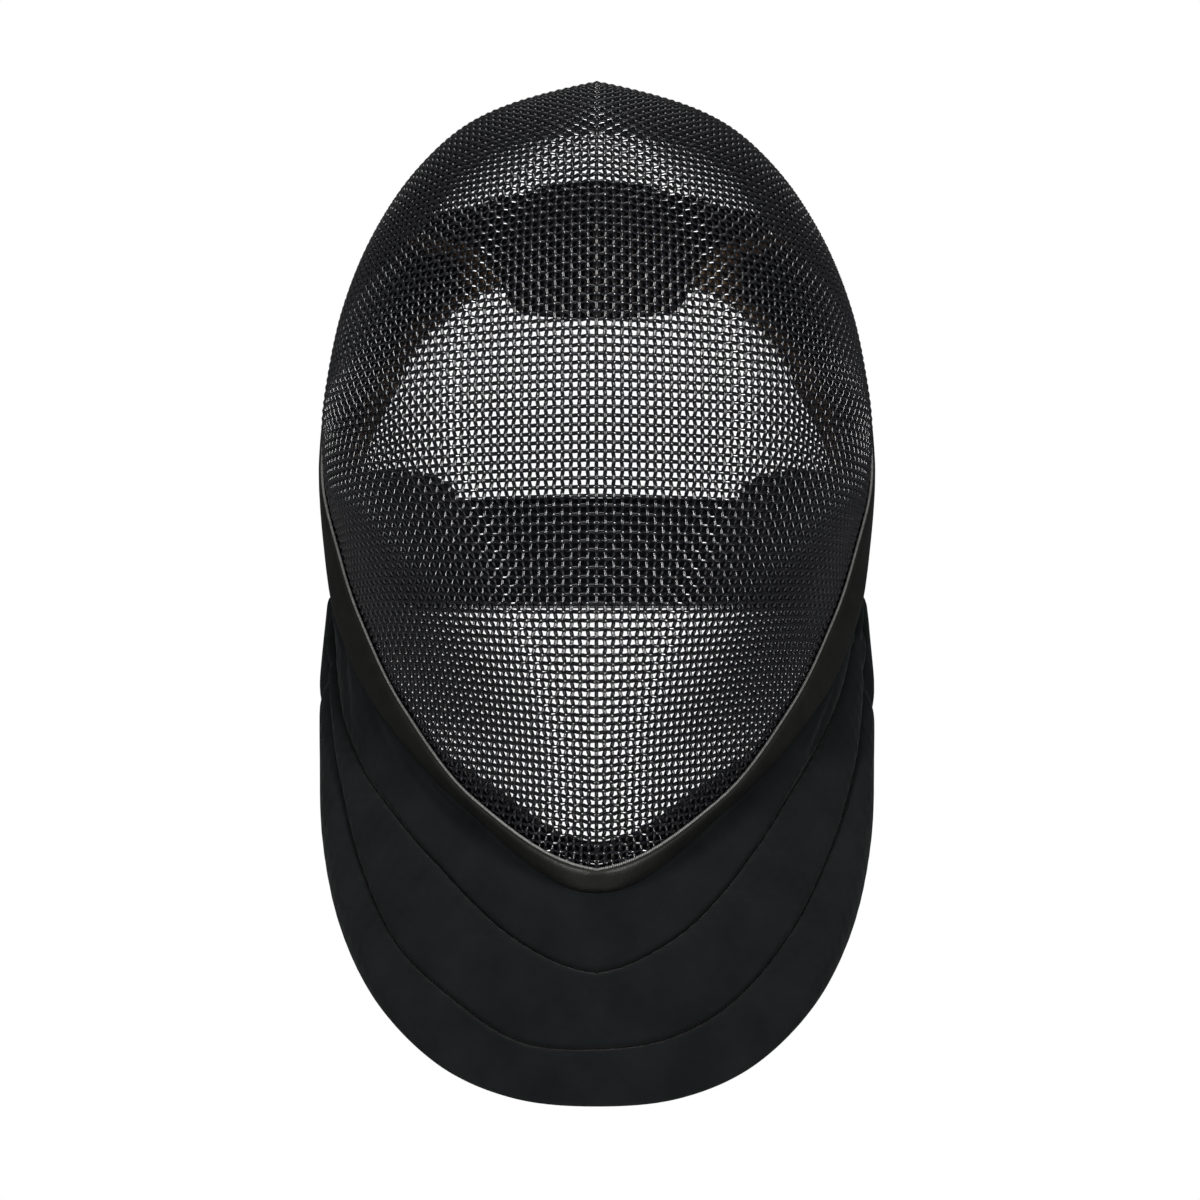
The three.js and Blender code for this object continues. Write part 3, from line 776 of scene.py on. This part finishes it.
def stitching_tree():
    group, start, end = new_tree("lay_stitches", [
        ("Stitch Step", "NodeSocketFloat", 2.2 * MM),
        ("Stitch Length", "NodeSocketFloat", 2.6 * MM),
        ("Thread Thickness", "NodeSocketFloat", 0.8 * MM),
        ("Slant", "NodeSocketFloat", 0.35),
        ("Material", "NodeSocketMaterial", None),
    ])
    curve = add_node(group, "GeometryNodeMeshToCurve")
    join(group, start.outputs["Geometry"], curve.inputs["Mesh"])
    points = add_node(group, "GeometryNodeCurveToPoints", mode="LENGTH")
    join(group, curve.outputs["Curve"], points.inputs["Curve"])
    join(group, start.outputs["Stitch Step"], points.inputs["Length"])
    bead = add_node(group, "GeometryNodeMeshUVSphere", Segments=6, Rings=4, Radius=0.5)
    size = add_node(group, "ShaderNodeCombineXYZ")
    join(group, start.outputs["Thread Thickness"], size.inputs["X"])
    join(group, start.outputs["Thread Thickness"], size.inputs["Y"])
    join(group, start.outputs["Stitch Length"], size.inputs["Z"])
    tilt = add_node(group, "FunctionNodeRotateRotation", rotation_space="LOCAL")
    lean = add_node(group, "FunctionNodeAxisAngleToRotation")
    lean.inputs["Axis"].default_value = (1, 0, 0)
    join(group, start.outputs["Slant"], lean.inputs["Angle"])
    join(group, points.outputs["Rotation"], tilt.inputs["Rotation"])
    join(group, lean.outputs["Rotation"], tilt.inputs["Rotate By"])
    lay = add_node(group, "GeometryNodeInstanceOnPoints")
    join(group, points.outputs["Points"], lay.inputs["Points"])
    join(group, bead.outputs["Mesh"], lay.inputs["Instance"])
    join(group, tilt.outputs["Rotation"], lay.inputs["Rotation"])
    join(group, size.outputs["Vector"], lay.inputs["Scale"])
    end_tree(group, start, end, lay.outputs["Instances"])
    return group


STITCH = stitching_tree()
# step, length and thickness in millimetres, slant in radians
EDGE_STITCH = (0.82, 1.35, 0.72, 0.9)
BIB_STITCH = (3.0, 2.3, 0.6, 0.0)
HEM_STITCH = (1.6, 2.0, 0.9, 0.0)
BOX_STITCH = (2.6, 2.1, 0.5, 0.0)


def seam_path(name, points, closed=False):
    count = len(points)
    edges = [(i, i + 1) for i in range(count - 1)]
    if closed:
        edges.append((count - 1, 0))
    mesh = bpy.data.meshes.new(name)
    mesh.from_pydata((points * MM).tolist(), edges, [])
    return mesh


def stitch_row(name, points, closed, step, length, thick, slant, material):
    return run_tree(name, seam_path(name + "_path", points, closed), STITCH, {
        "Stitch Step": step * MM, "Stitch Length": length * MM, "Thread Thickness": thick * MM,
        "Slant": slant, "Material": material})


edge_reach = -LIP - 0.4 - JAW["reach"] * jaw_share(RIM_STEPS)
edge_line = both_sides(rim_point(RIM_STEPS, edge_reach, 2.0))
edge_thread = stitch_row("edge_stitches", edge_line, True, *EDGE_STITCH, EDGE_THREAD)
print("edge stitches", len(edge_thread.data.polygons), "faces")

# %% [markdown]
# ## The padded bib
# The bib is two layers of knit cloth with padding between, sewn together along two curved seams. It swells into
# three channels. Its middle line leaves the binding and falls to the hem, and the thickness rises and falls
# between the seams. Small puckers along the seams and a few long creases come from sums of smooth bumps.

# %% Bib sections
BIB_COLUMNS = ["rim_t", "hem_x", "hem_y", "hem_z", "left_a", "right_a", "left_b", "right_b"]
BIB = np.array([
    [9.25, 103.5, 127, -134, 0.5, 0.3, 0.66, 0.66],
    [9.85, 104, 118, -164, 0.5, 0.3, 0.65, 0.66],
    [10.45, 103, 101, -195, 0.49, 0.295, 0.635, 0.645],
    [11, 100.5, 78, -226, 0.455, 0.285, 0.64, 0.63],
    [11.5, 92, 50, -254.5, 0.42, 0.31, 0.7, 0.655],
    [12, 76.5, 22, -279, 0.437, 0.395, 0.76, 0.713],
    [12.45, 54.5, 5, -298, 0.441, 0.427, 0.757, 0.747],
    [12.75, 29, -2, -308, 0.445, 0.437, 0.785, 0.768],
    [13, 0, -4, -310.5, 0.463, 0.463, 0.773, 0.773],
], float)
BIB_LAST = len(BIB) - 1
BIB_SEAM = 4.2
BIB_CREST = 9.2
GROOVE_DEPTH = 1.9
GROOVE_HALF = 0.75
BIB_TOP_GAP = -0.8


def bib_column(name, r, rule):
    """Bib table column; only its centre-front end follows the rule, its ear end runs straight on."""
    values = BIB[:, BIB_COLUMNS.index(name)]
    return np.where(r > BIB_LAST - 1, spline(values, r, rule), spline(values, r, "open"))


def bib_middle(r, v):
    """Middle line of the bib's right half from the rim (v 0) to the hem (v 1)."""
    r, v = np.broadcast_arrays(np.asarray(r, float), np.asarray(v, float))
    point, away, _ = rim_frame(np.minimum(bib_column("rim_t", r, "open"), LAST))
    hem = np.stack([bib_column("hem_x", r, "odd"), bib_column("hem_y", r, "even"),
                    bib_column("hem_z", r, "even")], -1)
    reach = np.linalg.norm(hem - point, axis=-1)[..., None]
    start = point + away * (NOSE + BIB_TOP_GAP)
    leave = start + away * 0.2 * reach
    radial = np.stack([hem[..., 0], hem[..., 1] - 90, np.zeros(hem.shape[:-1])], -1)
    arrive = hem + unit_rows(radial) * 0.02 * reach + np.array([0, 0, 1.0]) * 0.36 * reach
    w = v[..., None]
    return start * (1 - w) ** 3 + leave * 3 * (1 - w) ** 2 * w + arrive * 3 * (1 - w) * w**2 + hem * w**3


def bib_normal(r, v, step=0.02):
    a = np.clip(r, step, BIB_LAST - step)
    b = np.clip(v, step, 1 - step)
    along = bib_middle(a + step, b) - bib_middle(a - step, b)
    fall = bib_middle(a, b + step) - bib_middle(a, b - step)
    normal = unit_rows(np.cross(along, fall))
    normal[..., 0] = np.where(r >= BIB_LAST, 0, normal[..., 0])
    return unit_rows(normal)


# %% Bib relief
# side, place along, place down, half length along, half length down, slant, depth in millimetres
CREASES = [
    (-1, 3.6, 0.20, 0.70, 0.050, 0.16, 0.9),
    (-1, 4.6, 0.16, 0.55, 0.045, 0.12, 0.7),
    (-1, 2.2, 0.30, 0.60, 0.060, 0.22, 0.8),
    (1, 1.35, 0.78, 0.10, 0.300, 0.0, 1.8),
    (1, 0.75, 0.55, 0.45, 0.060, -0.25, 1.6),
    (1, 3.2, 0.22, 0.60, 0.040, 0.14, 0.9),
    (-1, 1.25, 0.72, 0.09, 0.300, 0.0, 1.5),
    (-1, 0.70, 0.50, 0.40, 0.060, -0.20, 1.2),
]
PUCKER_STEP = 0.23
PUCKER_DEPTH = 0.14


def crease_relief(side, r, v):
    total = np.zeros(np.broadcast(r, v).shape)
    for at_side, at_r, at_v, half_r, half_v, slant, depth in CREASES:
        if at_side != side:
            continue
        along = (r - at_r) / half_r
        across = (v - at_v - slant * (r - at_r)) / half_v
        total = total - depth * np.exp(-(along**2)) * np.exp(-(across**2))
        total = total + 0.45 * depth * np.exp(-(along**2)) * np.exp(-((np.abs(across) - 1.9) ** 2))
    return total


def pucker_relief(side, r, level):
    nearest = np.abs(level - np.round(level))
    fade = np.exp(-((nearest / 0.16) ** 2))
    wander = 2.4 * np.sin(1.7 * r + side) + 1.6 * np.sin(3.1 * r + 2.0 * side)
    return PUCKER_DEPTH * fade * np.sin(2 * np.pi * r / PUCKER_STEP + wander + 2.1 * np.round(level))


def bib_face(side, r, level, share):
    """Outer (share above 0) or inner face of one half of the bib; level counts channels from the rim."""
    label = "left" if side < 0 else "right"
    seam_a = column(BIB, BIB_COLUMNS, label + "_a", r)
    seam_b = column(BIB, BIB_COLUMNS, label + "_b", r)
    marks = np.stack(np.broadcast_arrays(0.0, seam_a, seam_b, 1.0, 1.0), 0)
    k = np.minimum(np.floor(level).astype(int), 3)
    low = np.take_along_axis(marks, k[None], 0)[0]
    high = np.take_along_axis(marks, np.minimum(k + 1, 4)[None], 0)[0]
    v = low + (high - low) * (level - k)
    ends = np.minimum(1, 0.35 + 0.65 * r)
    swell = np.maximum(np.sin(np.pi * (level - k)), 0) ** 0.5 * ends
    thick = BIB_SEAM + (BIB_CREST - BIB_SEAM) * swell
    groove = np.zeros(thick.shape)
    middle = bib_middle(r, v)
    run = np.concatenate([np.zeros((len(middle), 1)),
                          np.cumsum(np.linalg.norm(np.diff(middle, axis=1), axis=2), axis=1)], axis=1)
    for seam in (1, 2):
        at = np.array([np.interp(seam, level[row], run[row]) for row in range(len(run))])
        groove = groove + np.exp(-(((run - at[:, None]) / GROOVE_HALF) ** 2))
    thick = thick - GROOVE_DEPTH * groove
    relief = (crease_relief(side, r, v) + pucker_relief(side, r, level)) * np.where(share > 0, 1.0, 0.4)
    near_edge = np.clip(4 * np.minimum(level, 3 - level), 0, 1)
    offset = share * thick + np.sign(share) * relief * near_edge
    points = middle + bib_normal(r, v) * offset[..., None]
    return points * np.array([side, 1.0, 1.0]), np.clip(groove, 0, 1)


# %% Closed slab from two grids


def slab_mesh(name, outer, inner, uv):
    """Closed shell between two grids of one size; uv is in metres along the cloth."""
    rows, cols, _ = outer.shape
    points = np.concatenate([outer.reshape(-1, 3), inner.reshape(-1, 3)]) * MM
    number = np.arange(rows * cols).reshape(rows, cols)
    half = rows * cols
    a, b, c, d = number[:-1, :-1], number[1:, :-1], number[1:, 1:], number[:-1, 1:]
    front = np.stack([a, b, c, d], -1).reshape(-1, 4)
    back = half + np.stack([a, d, c, b], -1).reshape(-1, 4)
    rim = np.concatenate([number[0, :-1], number[:-1, -1], number[-1, :0:-1], number[:0:-1, 0]])
    after = np.roll(rim, -1)
    side = np.stack([rim, after, half + after, half + rim], -1)
    mesh = bpy.data.meshes.new(name)
    mesh.from_pydata(points.tolist(), [], np.concatenate([front, back, side]).tolist())
    layer = mesh.uv_layers.new(name="cloth_uv")
    loops = np.zeros(len(mesh.loops), np.int32)
    mesh.loops.foreach_get("vertex_index", loops)
    flat = np.concatenate([uv.reshape(-1, 2), uv.reshape(-1, 2)])
    layer.data.foreach_set("uv", flat[loops].astype(np.float32).ravel())
    mesh.shade_smooth()
    turn_outward(mesh)
    return mesh


def grid_uv(points):
    """Lengths along both grid directions, in metres, from the grid's middle row and first column."""
    across = np.linalg.norm(np.diff(points, axis=1), axis=2)
    along = np.linalg.norm(np.diff(points, axis=0), axis=2)
    v = np.concatenate([np.zeros((points.shape[0], 1)), np.cumsum(across, 1)], 1)
    mid = points.shape[1] // 2
    u = np.concatenate([[0], np.cumsum(along[:, mid])])
    return np.stack([np.broadcast_to(u[:, None], v.shape), v], -1) * MM


# %% Make the bib
BIB_ROWS = 150
BIB_STEPS = np.linspace(0, BIB_LAST, BIB_ROWS)
CHANNEL = 0.5 - 0.5 * np.cos(np.pi * np.linspace(0, 1, 21)[:-1])
LEVELS = np.concatenate([CHANNEL, CHANNEL + 1, CHANNEL + 2, [3.0]])
level_grid = np.broadcast_to(LEVELS, (BIB_ROWS, len(LEVELS)))
OUTSIDE, INSIDE = 0.6, -0.4
faces = {}
grooves = {}
for share in (OUTSIDE, INSIDE):
    right, right_groove = bib_face(1, BIB_STEPS[:, None], level_grid, share)
    left, left_groove = bib_face(-1, BIB_STEPS[:, None], level_grid, share)
    middle = 0.5 * (right[-1] + left[-1])
    faces[share] = np.concatenate([right[:-1], middle[None], left[-2::-1]])
    grooves[share] = np.concatenate([right_groove, left_groove[-2::-1]])
bib = new_object("padded_bib", slab_mesh("padded_bib", faces[OUTSIDE], faces[INSIDE], grid_uv(faces[OUTSIDE])))
bib.data.materials.append(KNIT)
groove_values = np.concatenate([grooves[OUTSIDE].ravel(), grooves[INSIDE].ravel()]).astype(np.float32)
bib.data.attributes.new("groove", "FLOAT", "POINT").data.foreach_set("value", groove_values)
print("bib faces", len(bib.data.polygons))

# %% Seam stitches on the bib
bib_seams = []
for label, level in (("upper", 1.0), ("lower", 2.0)):
    line = faces[OUTSIDE][6:-6, int(np.argmin(np.abs(LEVELS - level)))]
    bib_seams.append(stitch_row("bib_seam_" + label, line, False, *BIB_STITCH, BLACK_THREAD))
print("bib seams", [len(s.data.polygons) for s in bib_seams])

# %% [markdown]
# ## Pads inside the dome
# Foam pads in a brown-black cover lie against the inside of the mesh at the brow, the temples and the chin. They
# show as dark shapes through the weave. Each one is a patch of the dome with an outline from a short table,
# thickest in the middle and rolled at the edges.

# %% Pad outlines
PAD_GAP = 0.6
PAD_EDGE = 1.2
WALL_HALF = 1.0
FOREHEAD = np.array([
    [0, 4.74, 6.33], [0.1, 4.7, 6.28], [0.173, 4.69, 6.17], [0.21, 4.69, 5.87],
    [0.24, 4.69, 5.57], [0.273, 4.68, 5.31], [0.36, 4.65, 5.06], [0.44, 4.6, 4.82],
], float)
TEMPLE = np.array([
    [4.8, 0.445, 0.93], [4.93, 0.4076, 0.935], [5.06, 0.3641, 0.94], [5.19, 0.3156, 0.94],
    [5.32, 0.2735, 0.94], [5.46, 0.2523, 0.94], [5.6, 0.2385, 0.94], [5.72, 0.2272, 0.94],
    [5.82, 0.2215, 0.94], [5.89, 0.268, 0.94], [5.98, 0.312, 0.94], [6.1, 0.352, 0.94],
    [6.35, 0.418, 0.94], [6.85, 0.485, 0.94], [7.4, 0.562, 0.94], [8, 0.675, 0.93],
], float)
CHIN = {"from": 11.8, "tip": 16.0, "ends": 10.0}


def table_at(table, col, share):
    return spline(table[:, col], share * (len(table) - 1))


def forehead_place(i, j):
    across = 2 * i - 1
    at = np.abs(across)
    upper, lower = table_at(FOREHEAD, 1, at), table_at(FOREHEAD, 2, at)
    return upper + (lower - upper) * j, np.sign(across) * table_at(FOREHEAD, 0, at)


def temple_place(side):
    def place(i, j):
        front, rear = table_at(TEMPLE, 1, i), table_at(TEMPLE, 2, i)
        return table_at(TEMPLE, 0, i) + 0 * j, side * (front + (rear - front) * j)
    return place


def chin_place(i, j):
    across = 2 * i - 1
    middle = 1 - np.abs(across)
    width = CHIN["ends"] + (CHIN["tip"] - CHIN["ends"]) * middle
    t, s = rim_inset(CHIN["from"] + (LAST - CHIN["from"]) * middle, LIP + 0.6 + (width - LIP) * j)
    return t, np.where(across < 0, -1.0, 1.0) * s


def pad_piece(name, place, rows, cols, crest, cover):
    i, j = np.meshgrid(np.linspace(0, 1, rows), np.linspace(0, 1, cols), indexing="ij")
    t, s = place(i, j)
    roll = np.minimum(1, np.minimum(np.minimum(i, 1 - i) * rows / 5, np.minimum(j, 1 - j) * cols / 4))
    rise = np.maximum(np.sin(np.pi * i) * np.sin(np.pi * j), 0) ** 0.45
    depth = PAD_EDGE + (crest - PAD_EDGE) * rise * np.sqrt(np.clip(roll, 0, 1))
    outer = on_dome(t, s, np.full(t.shape, -(WALL_HALF + PAD_GAP)))
    inner = on_dome(t, s, -(WALL_HALF + PAD_GAP + depth))
    pad = new_object(name, slab_mesh(name, outer, inner, grid_uv(outer)))
    pad.data.materials.append(cover)
    return pad


forehead = pad_piece("brow_pad", forehead_place, 85, 25, 10.5, PAD_COVER)
temple_left = pad_piece("side_pad_left", temple_place(-1), 61, 25, 8.5, TEMPLE_COVER)
temple_right = pad_piece("side_pad_right", temple_place(1), 61, 25, 8.5, TEMPLE_COVER)
chin = pad_piece("chin_strip", chin_place, 61, 13, 7.0, PAD_COVER)
print("pads", [len(p.data.polygons) for p in (forehead, temple_left, temple_right, chin)])

# %% [markdown]
# ## Strap and tabs
# A broad elastic band runs behind the head. Its two ends are sewn to taller tabs, which are sewn to the binding
# at the ears. Bands are laid directly along their path: an elastic under light tension has no folds to simulate.

# %% Strap band
STRAP = {"thick": 2.0, "low": -130.5, "high": -84.5, "radius": 124, "centre_y": 86, "end_angle": 36.5}
TAB = {"thick": 2.0, "low": -129.5, "high": -74, "end_drop": 7, "inner_angle": 28, "outer_angle": 36}
HEM = 3.0


def strap_arc(radius, degrees, z):
    a = np.radians(degrees)
    return np.stack(np.broadcast_arrays(radius * np.sin(a), STRAP["centre_y"] + radius * np.cos(a), z), -1)


def hem_profile(z, low, high, swell):
    """Slight swell along both edges of a band, where it is folded and sewn."""
    edge = np.minimum(z - low, high - z)
    return swell * np.exp(-(((edge - 0.5 * HEM) / (0.45 * HEM)) ** 2)) - 0.5 * np.exp(-((edge / 0.4) ** 2))


turns = np.linspace(-STRAP["end_angle"], STRAP["end_angle"], 97)[:, None]
heights = np.linspace(STRAP["low"], STRAP["high"], 43)[None, :]
band = 0.5 * STRAP["thick"] + hem_profile(heights, STRAP["low"], STRAP["high"], 0.2)
band_out = strap_arc(STRAP["radius"] + band - 0.15, turns, heights)
band_in = strap_arc(STRAP["radius"] - band, turns, heights)
strap = new_object("elastic_band", slab_mesh("elastic_band", band_out, band_in, grid_uv(band_out)))
strap.data.materials.append(ELASTIC)

# %% Tabs


def rim_at_height(z):
    """Rim frames at given heights on the right side, found by halving."""
    high, low = np.full(z.shape, 7.0), np.full(z.shape, 11.0)
    for _ in range(40):
        mid = 0.5 * (high + low)
        above = dome_point(mid, 1.0)[..., 2] > z
        high, low = np.where(above, mid, high), np.where(above, low, mid)
    return rim_frame(0.5 * (high + low))


TAB_RADIUS = STRAP["radius"] + 0.5 * STRAP["thick"] + 0.3 + 0.5 * TAB["thick"]


def tab_middle(r, z):
    """Middle of the right tab: from the binding's inner face (r 0) to the strap (r 1) and along it (r 2)."""
    r, z = np.broadcast_arrays(np.asarray(r, float), np.asarray(z, float))
    point, away, normal = rim_at_height(z)
    start = point - normal * (BINDING_HALF + 0.4 + 0.5 * TAB["thick"] + 0.35) - away * 3.5
    start[..., 2] = z
    flat = unit_rows(away * np.array([1.0, 1.0, 0.0]))
    a = math.radians(TAB["outer_angle"])
    finish = strap_arc(TAB_RADIUS, TAB["outer_angle"], z)
    leave = start + flat * 24
    arrive = finish + np.array([20 * math.cos(a), -20 * math.sin(a), 0.0])
    q = np.clip(r, 0, 1)[..., None]
    bent = start * (1 - q) ** 3 + leave * 3 * (1 - q) ** 2 * q + arrive * 3 * (1 - q) * q**2 + finish * q**3
    sweep = TAB["outer_angle"] + (TAB["inner_angle"] - TAB["outer_angle"]) * np.clip(r - 1, 0, 1)
    return np.where((r > 1)[..., None], strap_arc(TAB_RADIUS, sweep, z), bent)


def tab_piece(name, side):
    r, h = np.meshgrid(np.concatenate([np.linspace(0, 1, 37), np.linspace(1, 2, 13)[1:]]),
                       np.linspace(0, 1, 49), indexing="ij")
    top = TAB["high"] - TAB["end_drop"] * np.maximum(r - 1, 0) ** 2
    z = TAB["low"] + (top - TAB["low"]) * h
    ahead = tab_middle(np.minimum(r + 0.02, 2), z) - tab_middle(np.maximum(r - 0.02, 0), z)
    out = unit_rows(np.stack([ahead[..., 1], -ahead[..., 0], np.zeros(r.shape)], -1))
    half = 0.5 * TAB["thick"] + hem_profile(z, TAB["low"], top, 0.15)
    flip = np.array([side, 1.0, 1.0])
    outer = (tab_middle(r, z) + out * half[..., None]) * flip
    inner = (tab_middle(r, z) - out * half[..., None]) * flip
    piece = new_object(name, slab_mesh(name, outer, inner, grid_uv(outer)))
    piece.data.materials.append(ELASTIC)
    return piece


tabs = {"left": tab_piece("side_tab_left", -1), "right": tab_piece("side_tab_right", 1)}

# %% Strap stitches
hem_angles = np.linspace(-STRAP["end_angle"] + 0.6, STRAP["end_angle"] - 0.6, 80)
strap_rows = []
for label, z in (("low", STRAP["low"] + 0.7), ("high", STRAP["high"] - 1.6)):
    row = strap_arc(STRAP["radius"] - 0.5 * STRAP["thick"] - 0.15, hem_angles, np.full(80, z))
    finish_thread = GREY_THREAD if label == "low" else BLACK_THREAD
    strap_rows.append(stitch_row("strap_hem_" + label, row, False, *HEM_STITCH, finish_thread))
for side, sign in (("left", -1), ("right", 1)):
    box_z = [TAB["low"] + 5, STRAP["high"] - 5]
    turn = np.array([TAB["inner_angle"] + 1.2, TAB["outer_angle"] - 0.5])
    ring = [(turn[0], box_z[0]), (turn[1], box_z[0]), (turn[1], box_z[1]), (turn[0], box_z[1]), (turn[0], box_z[0]),
            (turn[1], box_z[1]), (turn[1], box_z[0]), (turn[0], box_z[1])]
    line = []
    for (a0, z0), (a1, z1) in zip(ring[:-1], ring[1:]):
        f = np.linspace(0, 1, 12)[:-1]
        line.append(strap_arc(TAB_RADIUS + 0.5 * TAB["thick"] + 0.05, a0 + (a1 - a0) * f, z0 + (z1 - z0) * f))
    line = np.concatenate(line) * np.array([sign, 1.0, 1.0])
    strap_rows.append(stitch_row("tab_stitches_" + side, line, False, *BOX_STITCH, BLACK_THREAD))
print("strap stitches", len(strap_rows))

# %% [markdown]
# ## Putting it together
# Nothing on this mask moves on a joint, so every piece rides on the one body. Each piece names the solid that it
# stands for and the finish it belongs to.

# %% Ride and replace
STANDS_FOR = [
    (wires["wires_down_left"], "wire_mesh", "wire"), (wires["wires_down_right"], "wire_mesh", "wire"),
    (wires["wires_cross_upper"], "wire_mesh", "wire"), (wires["wires_cross_lower"], "wire_mesh", "wire"),
    (binding, "edge_binding", "vinyl"), (bib, "bib", "cloth"), (forehead, "forehead_pad", "pad"),
    (temple_left, "temple_pad_left", "pad"), (temple_right, "temple_pad_right", "pad"), (chin, "chin_pad", "pad"),
    (strap, "back_strap", "elastic"), (tabs["left"], "strap_tab_left", "elastic"),
    (tabs["right"], "strap_tab_right", "elastic"),
]
for piece, node, slot in STANDS_FOR:
    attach(piece, "root")
    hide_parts(node)
for piece in [edge_thread, *bib_seams, *strap_rows]:
    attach(piece, "root")
